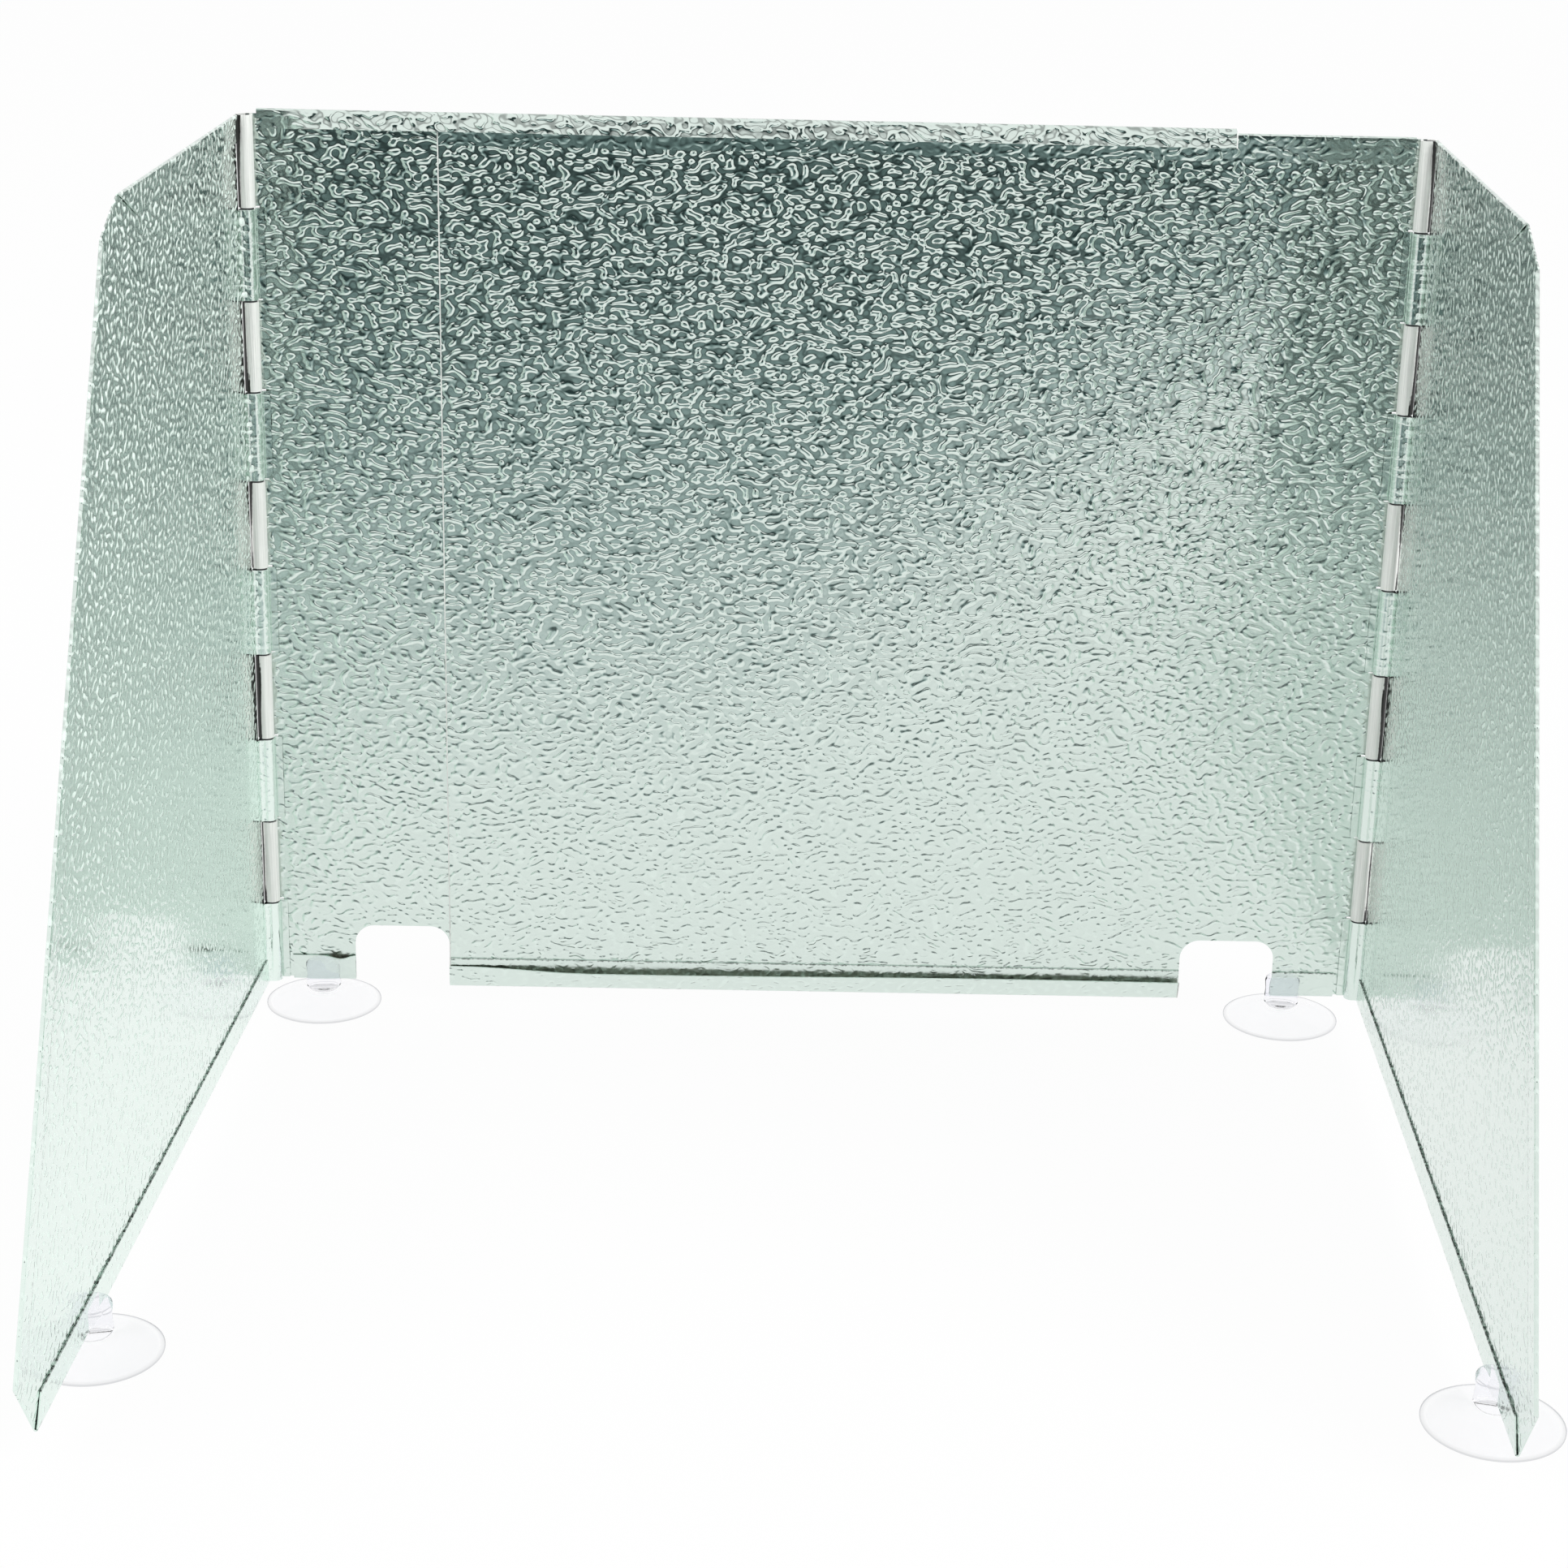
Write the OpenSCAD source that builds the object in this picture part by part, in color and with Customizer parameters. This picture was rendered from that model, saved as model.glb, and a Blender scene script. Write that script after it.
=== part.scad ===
// Folding stove windscreen: two back sheets that slide in one another, two hinged wings
// and four clear suction cups. Millimetres, +Z up, the cooking side towards -Y.

/* [Back panel] */
// Distance between the two hinge pins with the back panel pushed closed
closed_width = 390; // [376:1:420]
// Height of the wings and of the right back sheet
panel_height = 310; // [280:1:340]
// Width of each back sheet that lies beside the other one when closed
single_width = 63; // [58:1:75]
// Thickness of the aluminium sheet
sheet_t = 0.5; // [0.4:0.05:0.6]
// Gap between the two back sheets
slide_gap = 0.3; // [0.2:0.05:0.5]
// Height of the bottom edges above the ground
panel_lift = 9; // [8:0.5:12]

/* [Hems and channels] */
// Depth of the folded hems
hem_depth = 9.2; // [8:0.1:11]
// Gap inside a pressed hem
hem_gap = 0.3; // [0.2:0.05:0.4]
// Height of the top channel's front lip
top_lip = 6.5; // [5:0.1:8]
// Height of the bottom channel's front lip
bottom_lip = 5; // [4:0.1:6]
// Gap between the sliding sheet's hems and the channel lips
lip_gap = 0.4; // [0.3:0.05:0.6]
// Length of the top channel that is pressed flat beside the left hinge
pressed_length = 12; // [8:1:20]

/* [Hose notches] */
// Width of a hose notch
notch_width = 34; // [28:1:36]
// Height of a hose notch above the bottom edge
notch_height = 21; // [18:1:26]
// Radius of a hose notch's top corners
notch_radius = 7; // [4:0.5:9]

/* [Hinges] */
// Number of rolled knuckles along one hinge
knuckle_count = 10; // [6:2:14]
// Outer diameter of a rolled knuckle
knuckle_d = 5.6; // [5:0.1:6.4]
// Radial clearance of the hinge pin in its knuckles
pin_clear = 0.05; // [0.03:0.01:0.1]
// Distance by which the pin stops short of each end of the hinge
pin_inset = 1; // [0.5:0.1:3]
// Gap between neighbouring knuckles along the pin
knuckle_gap = 0.6; // [0.4:0.1:1]
// Gap between a knuckle and the sheet edge beside it
edge_gap = 0.35; // [0.3:0.05:0.6]
// Angle left open where a rolled knuckle comes back to its sheet
seam_angle = 50; // [45:1:70]
// Depth of the tabs folded flat between the knuckles of a back sheet
tab_depth = 3; // [2.5:0.1:4]
// Gap between a folded tab and the hem below it
tab_gap = 0.4; // [0.3:0.1:1]

/* [Wings] */
// Angle between the back panel and the left wing
left_angle = 93.6; // [80:0.1:100]
// Angle between the back panel and the right wing
right_angle = 88.1; // [80:0.1:100]
// Length of a wing's top edge from the hinge pin
wing_top = 156; // [130:1:180]
// Length of the top corner cut
shoulder_cut = 19.5; // [15:0.5:26]
// Height of the top corner cut
shoulder_drop = 9; // [5:0.5:12]
// Distance from the hinge pin to the foot of the slanted front edge
wing_nose = 321.5; // [300:0.5:350]
// Length of the bottom corner cut
nose_cut = 15.5; // [10:0.5:22]
// Height of the bottom corner cut
nose_rise = 22; // [15:0.5:30]

/* [Suction cups] */
// Diameter of a suction cup
cup_d = 41; // [36:0.5:46]
// Thickness of a cup's thin outer edge
cup_edge = 1; // [0.8:0.1:1.4]
// Width of the flat rim that meets the ground
rim_width = 2; // [1.5:0.1:3]
// Depth of the hollow under a cup
hollow_depth = 3.2; // [2:0.1:3.6]
// Height of the shoulder where the head begins
cup_shoulder = 5.2; // [4.8:0.1:6.5]
// Diameter of the head at the shoulder
shoulder_d = 12.8; // [11.5:0.1:14]
// Diameter of the head at its waist
waist_d = 11.4; // [10:0.1:12]
// Diameter of the head near its top
head_d = 12.4; // [11:0.1:13.5]
// Bevel round the top of the head
head_bevel = 1; // [0.5:0.1:1.5]
// Height of sheet that a slotted head grips
grip_height = 7.2; // [6:0.1:9]
// Clearance of a hem in the slot of a head
grip_clear = 0.05; // [0.02:0.01:0.1]
// Distance from the left hinge pin to the cup on the left back sheet
back_left_cup_at = 17.2; // [15:0.1:22]
// Distance from the right hinge pin to the cup on the right back sheet
back_right_cup_at = 25; // [15:0.1:26]
// Distance of the cup on the left wing from the front end of the bottom edge
left_wing_cup_back = 59; // [12:1:150]
// Distance of the cup on the right wing from the front end of the bottom edge
right_wing_cup_back = 32; // [12:1:150]

/* [Hidden] */
$fn = 64;
metal = [0.80, 0.84, 0.82];
wire = [0.22, 0.22, 0.23];
clear = [0.90, 0.91, 0.96, 0.5];

// Folds: outer radius of a hem and of a channel, and the room inside a channel
hem_t = 2 * sheet_t + hem_gap;
fold_r = hem_t / 2;
channel_room = slide_gap + hem_t + lip_gap;
bend_r = channel_room / 2 + sheet_t;

// Length that a fold shares with the flat of its sheet, and where the flat of a wing ends in it
fold_lap = 2 * sheet_t;
flat_inset = fold_r + fold_lap / 2;

// Hinges: every sheet leaves its pin along its own X, with its outer face knuckle_r behind the pin
knuckle_r = knuckle_d / 2;
bore_r = knuckle_r - sheet_t;
pin_r = bore_r - pin_clear;
pitch = panel_height / knuckle_count;
tab_edge = knuckle_r + edge_gap;
plate_start = tab_edge + fold_r;
edge_mid = knuckle_r - fold_r;
back_rows = 0;
wing_rows = 1;

// Back sheets, measured along X from their own hinge pin
sheet_width = closed_width - single_width;
notch_end = single_width;
notch_start = notch_end - notch_width;
tab_hem_start = tab_edge + tab_depth + tab_gap;
channel_start = plate_start + pressed_length;
channel_top = panel_height + bend_r;
right_step = sheet_t + slide_gap;

// Wings, measured from their own hinge pin
wing_bottom = wing_nose - nose_cut;
wing_shoulder = wing_top + shoulder_cut;
left_wing_cup_at = wing_bottom - left_wing_cup_back;
right_wing_cup_at = wing_bottom - right_wing_cup_back;

// Wing outline, anticlockwise from the bottom of the hinge edge, and the angles of its slanted edges
wing_outline = [
    [tab_edge, 0],
    [wing_bottom, 0],
    [wing_nose, nose_rise],
    [wing_shoulder, panel_height - shoulder_drop],
    [wing_top, panel_height],
    [tab_edge, panel_height]
];
function run(i) = wing_outline[i + 1] - wing_outline[i];
function angle_of(v) = atan2(v[1], v[0]);
nose_angle = angle_of(run(1));
front_angle = angle_of(run(2));
shoulder_angle = angle_of(run(3));
front_length = norm(run(2));

// The flat of a wing, which ends within the lap of its three hems
nose_run = run(1) / norm(run(1));
shoulder_run = run(3) / norm(run(3));
function cut_point(i, along, turn) = wing_outline[i] + along * flat_inset / sin(turn);
wing_flat = [
    [tab_edge, flat_inset],
    cut_point(1, nose_run, nose_angle),
    cut_point(2, -nose_run, front_angle - nose_angle),
    cut_point(3, shoulder_run, shoulder_angle - front_angle),
    cut_point(4, -shoulder_run, 180 - shoulder_angle),
    [tab_edge, panel_height - flat_inset]
];

// Cups
cup_r = cup_d / 2;
head_top = panel_lift + grip_height;
waist_at = (cup_shoulder + head_top) / 2;
slot_width = hem_t + 2 * grip_clear;
hollow_rim_r = cup_r - rim_width;
hollow_r = (pow(hollow_rim_r, 2) + pow(hollow_depth, 2)) / (2 * hollow_depth);

// Footprint measured from the point midway between the pins, which centres the part on its origin
left_splay = left_angle - 90;
right_splay = right_angle - 90;
function wing_x(at, off, splay) = at * sin(splay) + off * cos(splay);
function wing_y(at, off, splay) = at * cos(splay) - off * sin(splay);
function side_reach(cup_at, splay, back_cup_at) = closed_width / 2 + max(
    wing_x(cup_at, edge_mid, splay) + cup_r,
    wing_x(wing_nose, knuckle_r, splay),
    wing_x(0, knuckle_r, splay),
    cup_r - back_cup_at
);
left_reach = side_reach(left_wing_cup_at, left_splay, back_left_cup_at);
right_reach = side_reach(right_wing_cup_at, right_splay, back_right_cup_at);
rear_reach = edge_mid + cup_r;
front_reach = max(
    wing_y(wing_nose, knuckle_r, left_splay),
    wing_y(wing_nose, knuckle_r, right_splay) + right_step
);
centre_x = (right_reach - left_reach) / 2;
centre_y = (rear_reach - front_reach) / 2;

// Places of the four hinged frames

module at_left_hinge(lift = 0) {
    translate([-closed_width / 2 - centre_x, -centre_y, lift]) children();
}

module at_right_hinge(lift = 0) {
    translate([closed_width / 2 - centre_x, -centre_y - right_step, lift]) mirror([1, 0, 0]) children();
}

module turned_wing(angle) {
    rotate([0, 0, -angle]) mirror([0, 1, 0]) children();
}

// Sheet metal shapes

// A flat sheet from an outline in X and Z, its outer face knuckle_r behind the pin
module plate() {
    translate([0, knuckle_r, 0]) rotate([90, 0, 0]) linear_extrude(sheet_t) children();
}

// A fold along an edge that starts at a corner and runs at an angle in X and Z, with the sheet on its left.
// The returned leaf is cut back at its ends as the corner's own slant, mirrored over the fold, asks for.
module fold(corner, angle, length, inside, depth, start_turn = 90, end_turn = 90) {
    r = inside / 2 + sheet_t;
    start_cut = 1 / tan(start_turn);
    end_cut = 1 / tan(end_turn);
    translate([corner[0], knuckle_r, corner[1]]) rotate([0, -angle, 0]) {
        rotate([180, 0, 0]) rotate([0, 90, 0]) linear_extrude(length) {
            difference() {
                translate([r, r]) circle(r);
                translate([r, r]) circle(inside / 2);
                translate([r, 0]) square(2 * r);
            }
            translate([r, 0]) square([fold_lap, sheet_t]);
        }
        translate([0, -inside - sheet_t, 0]) rotate([90, 0, 0]) linear_extrude(sheet_t) polygon([
            [r * start_cut, r],
            [length - r * end_cut, r],
            [length - depth * end_cut, depth],
            [depth * start_cut, depth]
        ]);
    }
}

// Rolled knuckles in every other row from the top, joined to a sheet that starts at reach
module knuckles(first_row, reach) {
    for (row = [first_row : 2 : knuckle_count - 1])
        translate([0, 0, panel_height - (row + 1) * pitch + knuckle_gap / 2])
            linear_extrude(pitch - knuckle_gap) {
                difference() {
                    circle(knuckle_r);
                    circle(bore_r);
                    polygon([
                        [0, 0],
                        [knuckle_d * tan(seam_angle), knuckle_d],
                        [0, knuckle_d]
                    ]);
                }
                translate([0, bore_r]) square([reach, sheet_t]);
            }
}

// Tabs folded flat beside the other leaf's knuckles
module folded_tabs() {
    for (row = [wing_rows : 2 : knuckle_count - 1])
        fold(
            [tab_edge, panel_height - row * pitch - knuckle_gap / 2], -90,
            pitch - knuckle_gap, hem_gap, tab_depth
        );
}

module notch_outline() {
    translate([notch_start, 0]) square([notch_width, notch_height - notch_radius]);
    translate([notch_start + notch_radius, 0]) square([notch_width - 2 * notch_radius, notch_height]);
    for (x = [notch_start + notch_radius, notch_end - notch_radius])
        translate([x, notch_height - notch_radius]) circle(notch_radius);
}

// Back sheets

module left_sheet_shape() {
    plate() {
        difference() {
            translate([plate_start, 0]) square([sheet_width - plate_start, panel_height]);
            translate([plate_start, 0]) square([notch_start - plate_start, fold_r]);
            notch_outline();
        }
        translate([plate_start, panel_height]) square([pressed_length, bend_r - fold_r]);
    }
    knuckles(back_rows, plate_start);
    folded_tabs();
    fold([tab_hem_start, 0], 0, notch_start - tab_hem_start, hem_gap, hem_depth);
    fold([notch_end, -bend_r], 0, sheet_width - notch_end, channel_room, bottom_lip);
    fold([channel_start, channel_top], 180, pressed_length, hem_gap, top_lip);
    fold([sheet_width, channel_top], 180, sheet_width - channel_start, channel_room, top_lip);
}

module right_sheet_shape() {
    plate() difference() {
        translate([plate_start, fold_r]) square([sheet_width - plate_start, panel_height - 2 * fold_r]);
        notch_outline();
    }
    knuckles(back_rows, plate_start);
    folded_tabs();
    fold([tab_hem_start, 0], 0, notch_start - tab_hem_start, hem_gap, hem_depth);
    fold([notch_end, 0], 0, sheet_width - notch_end, hem_gap, hem_depth);
    fold([sheet_width, panel_height], 180, sheet_width - plate_start, hem_gap, hem_depth);
}

module left_back_sheet() {
    color(metal) at_left_hinge(panel_lift) left_sheet_shape();
}

module right_back_sheet() {
    color(metal) at_right_hinge(panel_lift) right_sheet_shape();
}

// Wings

module wing_shape() {
    plate() polygon(wing_flat);
    knuckles(wing_rows, tab_edge);
    fold([tab_edge, 0], 0, wing_bottom - tab_edge, hem_gap, hem_depth, 90, nose_angle);
    fold(
        wing_outline[2], front_angle, front_length, hem_gap, hem_depth,
        front_angle - nose_angle, shoulder_angle - front_angle
    );
    fold([wing_top, panel_height], 180, wing_top - tab_edge, hem_gap, hem_depth, 180 - shoulder_angle, 90);
}

module left_wing() {
    color(metal) at_left_hinge(panel_lift) turned_wing(left_angle) wing_shape();
}

module right_wing() {
    color(metal) at_right_hinge(panel_lift) turned_wing(right_angle) wing_shape();
}

// Hinge pins

module pin_shape() {
    translate([0, 0, pin_inset]) cylinder(h = panel_height - 2 * pin_inset, r = pin_r);
}

module left_hinge_pin() {
    color(wire) at_left_hinge(panel_lift) pin_shape();
}

module right_hinge_pin() {
    color(wire) at_right_hinge(panel_lift) pin_shape();
}

// Suction cups

module cup_shape() {
    difference() {
        rotate_extrude() polygon([
            [0, 0],
            [cup_r, 0],
            [cup_r, cup_edge],
            [shoulder_d / 2, cup_shoulder],
            [waist_d / 2, waist_at],
            [head_d / 2, head_top - head_bevel],
            [head_d / 2 - head_bevel, head_top],
            [0, head_top]
        ]);
        translate([0, 0, hollow_depth - hollow_r]) sphere(hollow_r);
        translate([-cup_r, -slot_width / 2, panel_lift - grip_clear]) cube([cup_d, slot_width, head_top]);
    }
}

// A cup on a bottom hem, at a distance from the hinge pin
module cup_on_hem(at) {
    translate([at, edge_mid, 0]) cup_shape();
}

module back_left_cup() {
    color(clear) at_left_hinge() cup_on_hem(back_left_cup_at);
}

module back_right_cup() {
    color(clear) at_right_hinge() cup_on_hem(back_right_cup_at);
}

module left_wing_cup() {
    color(clear) at_left_hinge() turned_wing(left_angle) cup_on_hem(left_wing_cup_at);
}

module right_wing_cup() {
    color(clear) at_right_hinge() turned_wing(right_angle) cup_on_hem(right_wing_cup_at);
}

left_back_sheet();
right_back_sheet();
left_wing();
right_wing();
left_hinge_pin();
right_hinge_pin();
back_left_cup();
back_right_cup();
left_wing_cup();
right_wing_cup();
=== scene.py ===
"""Folding stove windscreen: folded embossed sheets, rolled hinges and clear suction cups."""
import math

import bpy
from bpy.props import FloatProperty, FloatVectorProperty, IntProperty, PointerProperty
from mathutils import Matrix, Vector


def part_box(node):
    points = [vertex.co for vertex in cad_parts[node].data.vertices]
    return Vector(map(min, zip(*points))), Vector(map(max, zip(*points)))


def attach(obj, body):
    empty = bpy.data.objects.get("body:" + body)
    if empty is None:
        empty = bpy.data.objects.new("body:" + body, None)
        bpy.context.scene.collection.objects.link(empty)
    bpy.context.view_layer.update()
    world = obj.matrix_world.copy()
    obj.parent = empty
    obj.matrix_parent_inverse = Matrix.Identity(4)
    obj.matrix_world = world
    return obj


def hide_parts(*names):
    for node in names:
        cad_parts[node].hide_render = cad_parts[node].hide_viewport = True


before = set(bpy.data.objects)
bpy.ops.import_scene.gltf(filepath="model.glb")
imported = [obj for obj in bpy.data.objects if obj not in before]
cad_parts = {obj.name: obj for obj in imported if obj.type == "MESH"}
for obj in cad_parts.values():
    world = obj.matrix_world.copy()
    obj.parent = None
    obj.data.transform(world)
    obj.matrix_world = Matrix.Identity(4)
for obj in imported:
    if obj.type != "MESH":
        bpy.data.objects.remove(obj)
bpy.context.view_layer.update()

bl_info = {
    "name": "Folding stove windscreen",
    "version": (1, 0, 0),
    "blender": (4, 5, 0),
    "location": "View3D > Sidebar > Windscreen",
    "description": "Dresses the packed windscreen in folded embossed sheets and clear suction cups",
    "category": "Object",
}

SIDES = ("left", "right")
FULL_TURN = 2 * math.pi
MERGE = 2e-5  # points of neighbouring sheet patches closer than this are one
CUP_MERGE = 1e-6  # the same for the points of a turned cup
FOLD_STEPS = 8
LEAF_STEPS = 6
ROLL_STEPS = 30
CUP_STEPS = 72
LINE_STEP = 0.010  # distance between the grid lines of a flat
FINE_STEP = 0.0014  # the same in the pockets and beside the notches
LEAF_REACH = 0.0018  # a point no further than this under the outer face lies on a folded leaf
RAW_EDGE_DARKNESS = 0.54  # darkness of the painted shadow line along the hems' raw edges
POCKET_DARKNESS = 0.6  # painted shade in the pockets of the folds
EDGE_HIGHLIGHT = 0.0004  # width of the painted highlight on a free edge
EDGE_SHADE = 0.0006  # width of the black painted shade on a wing's edge beside a roll
TAIL = 0.0022  # length of a wing roll's end that lies on its sheet
TAIL_FROM = math.radians(8)  # angle at which the tail leaves the round
BEVEL_ANGLE = math.radians(55)
SMOOTH_ANGLE = math.radians(35)
SHADED_ARC = (math.radians(190), math.radians(232))  # part of a roll's round that is painted black as the shade where the wing's edge meets it
SHADE_FADE = 0.15  # angle over which that part fades
ROLLED_FROM = 0.85  # metal pressed flatter than this has the smooth finish of the rolls
LIGHT_AND_RELIEF_Z = (0.05, 0.24)  # heights between which the low relief and the wings' low painted light and shade turn into the high ones
FOOT_Z = (0.10, 0.29)  # the same for the painted shade round the feet of the ridges
SOFT_Z = (0.10, 0.25)  # the same for the softer reflections low on the back sheets
NOISE = (0.3, 0.7)  # range that holds most values of a noise
CAMERA_AT = (-0.016259, -0.904473, 0.476609)
CAMERA_TURN = (69.7596, -1.2514, -0.4006)  # in degrees
SOFTBOXES = {  # place, turn in degrees, size and power
    "softbox_top": ((0.0, -0.25, 2.1), (0, 0, 0), 2.0, 6),
    "softbox_front": ((0.2, -2.4, 2.2), (50, 0, 5), 1.6, 3),
    "softbox_left": ((-1.8, -1.0, 1.8), (0, -52, 30), 1.2, 20),
    "softbox_right": ((1.8, -1.0, 1.8), (0, 52, -30), 1.2, 48),
}
DARK_FRONT = (0.025, 0.045, 0.046, 1)  # colour of the dark low front that mirrors see
FRONT_Y = (-0.965, -0.86)  # directions between which it ends at its sides
FRONT_Z = (0.15, 0.31)  # and at its top
WEDGE_X = -0.1  # middle of the wedge in which the floor fades in mirrors
WEDGE = (0.14, 0.45)  # its half width over its length, where it starts to end and where it has ended
WHITE = (1, 1, 1, 1)


def length(name, default, about):
    return FloatProperty(name=name, description=about, default=default, precision=5, unit="LENGTH")


def angle(name, degrees, about):
    return FloatProperty(name=name, description=about, default=math.radians(degrees), unit="ROTATION")


def number(name, default, about):
    return FloatProperty(name=name, description=about, default=default, precision=4)


def colour(name, default, about):
    return FloatVectorProperty(
        name=name, description=about, default=default, size=3, min=0, max=1, subtype="COLOR"
    )


def middle(node):
    """Middle of a packed node in X and Y."""
    low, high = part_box(node)
    return (low.x + high.x) / 2, (low.y + high.y) / 2


class SheetSizes(bpy.types.PropertyGroup):
    """Sizes that the four sheets share."""

    thickness: length("Thickness", 0.0005, "Thickness of the aluminium sheet")
    height: length("Height", 0.310, "Height of the wings and of the right back sheet")
    lift: length("Lift", 0.009, "Height of the bottom edges above the ground")
    slide_gap: length("Slide gap", 0.0003, "Gap between the two back sheets")
    hem_depth: length("Hem depth", 0.0092, "Depth of the folded hems")
    hem_gap: length("Hem gap", 0.0003, "Gap inside a pressed hem")
    lip_gap: length("Lip gap", 0.0004, "Gap between the sliding hems and the channel lips")
    top_lip: length("Top lip", 0.0065, "Height of the top channel's front lip")
    bottom_lip: length("Bottom lip", 0.008, "Depth of the bottom channel's front lip")
    pressed: length("Pressed length", 0.012, "Top channel that is pressed flat at the left hinge")
    knuckles: IntProperty(name="Knuckles", description="Rolled knuckles of one hinge", default=10)
    knuckle_d: length("Knuckle diameter", 0.0056, "Outer diameter of a rolled knuckle")
    knuckle_gap: length("Knuckle gap", 0.0006, "Gap between neighbouring knuckles")
    edge_gap: length("Edge gap", 0.00035, "Gap between a knuckle and the edge beside it")
    seam: angle("Roll seam", 40, "Angle left open where a roll comes back to its sheet")
    tab_depth: length("Tab depth", 0.003, "Depth of the tabs folded between the knuckles")
    tab_gap: length("Tab gap", 0.0004, "Gap between a folded tab and the hem below it")
    hem_press: angle("Hem press", 1.5, "Angle at which a hem's raw edge is pressed towards its sheet")
    chamfer: length("Chamfer", 0.0001, "Chamfer of the raw edges")


class BackSizes(bpy.types.PropertyGroup):
    """Sizes of the two back sheets."""

    single: length("Single width", 0.063, "Width of each sheet beside the other one")
    notch_width: length("Notch width", 0.034, "Width of a hose notch")
    notch_height: length("Notch height", 0.021, "Height of a hose notch")
    notch_radius: length("Notch radius", 0.007, "Radius of a hose notch's top corners")
    top_flare: angle("Top lip flare", 13, "Angle at which the top lip stands off the sheet")
    bottom_flare: angle("Bottom lip flare", 25, "Angle at which the bottom lip stands off")
    hem_bulge: angle("Hem bulge", 24, "Angle at which the left hem has sprung open at its notch")


class WingSizes(bpy.types.PropertyGroup):
    """Sizes of the two wings."""

    left_angle: angle("Left angle", 93.6, "Angle between the back panel and the left wing")
    right_angle: angle("Right angle", 88.1, "Angle between the back panel and the right wing")
    top: length("Top edge", 0.156, "Length of the top edge from the hinge pin")
    shoulder_cut: length("Shoulder cut", 0.0195, "Length of the top corner cut")
    shoulder_drop: length("Shoulder drop", 0.009, "Height of the top corner cut")
    nose: length("Nose", 0.3215, "Distance from the hinge pin to the foot of the front edge")
    nose_cut: length("Nose cut", 0.0155, "Length of the bottom corner cut")
    nose_rise: length("Nose rise", 0.022, "Height of the bottom corner cut")


class CupSizes(bpy.types.PropertyGroup):
    """Sizes of a clear suction cup."""

    diameter: length("Diameter", 0.041, "Diameter of a cup")
    edge: length("Edge", 0.0008, "Thickness of the thin outer edge")
    rim: length("Rim", 0.002, "Width of the flat rim that meets the ground")
    hollow: length("Hollow", 0.0032, "Depth of the hollow under a cup")
    neck_d: length("Neck diameter", 0.0104, "Diameter of the neck under the head")
    head_d: length("Head diameter", 0.0124, "Diameter of the slotted head")
    grip: length("Grip", 0.0072, "Height of sheet that the head grips")
    grip_clear: length("Grip clearance", 0.00005, "Clearance of a hem in the slot")


class Finishes(bpy.types.PropertyGroup):
    """Colours and relief of the finishes."""

    metal: colour("Aluminium", (0.725, 0.82, 0.77), "Bright embossed sheet")
    roll: colour("Rolls", (0.80, 0.815, 0.785), "Rolled knuckles, pressed smooth")
    # painted shade: black standing in for the shade where the wings' edges meet the rolls and along raw edges
    crevice_shade: colour("Crevice shade", (0.006, 0.007, 0.006), "Black oxide where edges rub on the rolls")
    # painted shade: brown dark in the pockets of the folds
    pocket_shade: colour("Pocket shade", (0.17, 0.16, 0.115), "Brown grime in the pockets of the folds")
    # painted shade: the pins are dark so the gaps between the knuckles read as shade
    wire: colour("Wire", (0.045, 0.045, 0.050), "Dark drawn wire of the pins")
    vinyl: colour("Vinyl", (0.985, 0.988, 0.997), "Clear soft vinyl of the cups")
    vinyl_head: colour("Vinyl head", (0.955, 0.957, 0.985), "Thick vinyl of the heads")
    # painted shade: grey rim line standing in for the light bent at the cups' edge
    rim_shade_line: colour("Vinyl rim", (0.55, 0.56, 0.58), "Edge of the cups' thin rim")
    pitch: length("Emboss pitch", 0.0033, "Distance between the ridges of the embossing")
    depth: length("Emboss depth", 0.00032, "Height of the ridges")
    # painted shade: the dark ring round the foot of each ridge
    foot: number("Foot", 0.48, "Brightness of the metal in the dull foot round each ridge")
    sway: number("Sway", 0.6, "Slow waviness of the sheets, in ridge heights")


class StageSizes(bpy.types.PropertyGroup):
    """Camera, floor and light."""

    lens: number("Lens", 72.885, "Focal length in millimetres on a 36 mm sensor")
    floor: colour("Floor", (0.60, 0.60, 0.60), "Pale floor")
    glow: number("Floor white", 0.96, "Share of the floor's white that is its own")
    near: length("Near", 0.20, "Distance in front of the back panel up to which mirrors see a white floor")
    fade: length("Fade", 0.40, "Distance over which the floor in front fades in mirrors")


SETTINGS = {
    "windscreen_sheet": SheetSizes,
    "windscreen_back": BackSizes,
    "windscreen_wing": WingSizes,
    "windscreen_cup": CupSizes,
    "windscreen_finish": Finishes,
    "windscreen_stage": StageSizes,
}


# Small helpers for the modelling operators


def clear_selection():
    if bpy.context.object and bpy.context.object.mode != "OBJECT":
        bpy.ops.object.mode_set(mode="OBJECT")
    bpy.ops.object.select_all(action="DESELECT")


def make_active(ob):
    clear_selection()
    ob.select_set(True)
    bpy.context.view_layer.objects.active = ob


def add_modifier(ob, kind, **values):
    make_active(ob)
    mod = ob.modifiers.new(kind.lower(), kind)
    for key, value in values.items():
        setattr(mod, key, value)
    bpy.ops.object.modifier_apply(modifier=mod.name)


def in_edit_mode(ob, *steps):
    """Runs edit-mode operators on all of an object; each step is (operator, keywords)."""
    make_active(ob)
    bpy.ops.object.mode_set(mode="EDIT")
    bpy.ops.mesh.select_all(action="SELECT")
    for operator, keywords in steps:
        operator(**keywords)
    bpy.ops.object.mode_set(mode="OBJECT")


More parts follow.
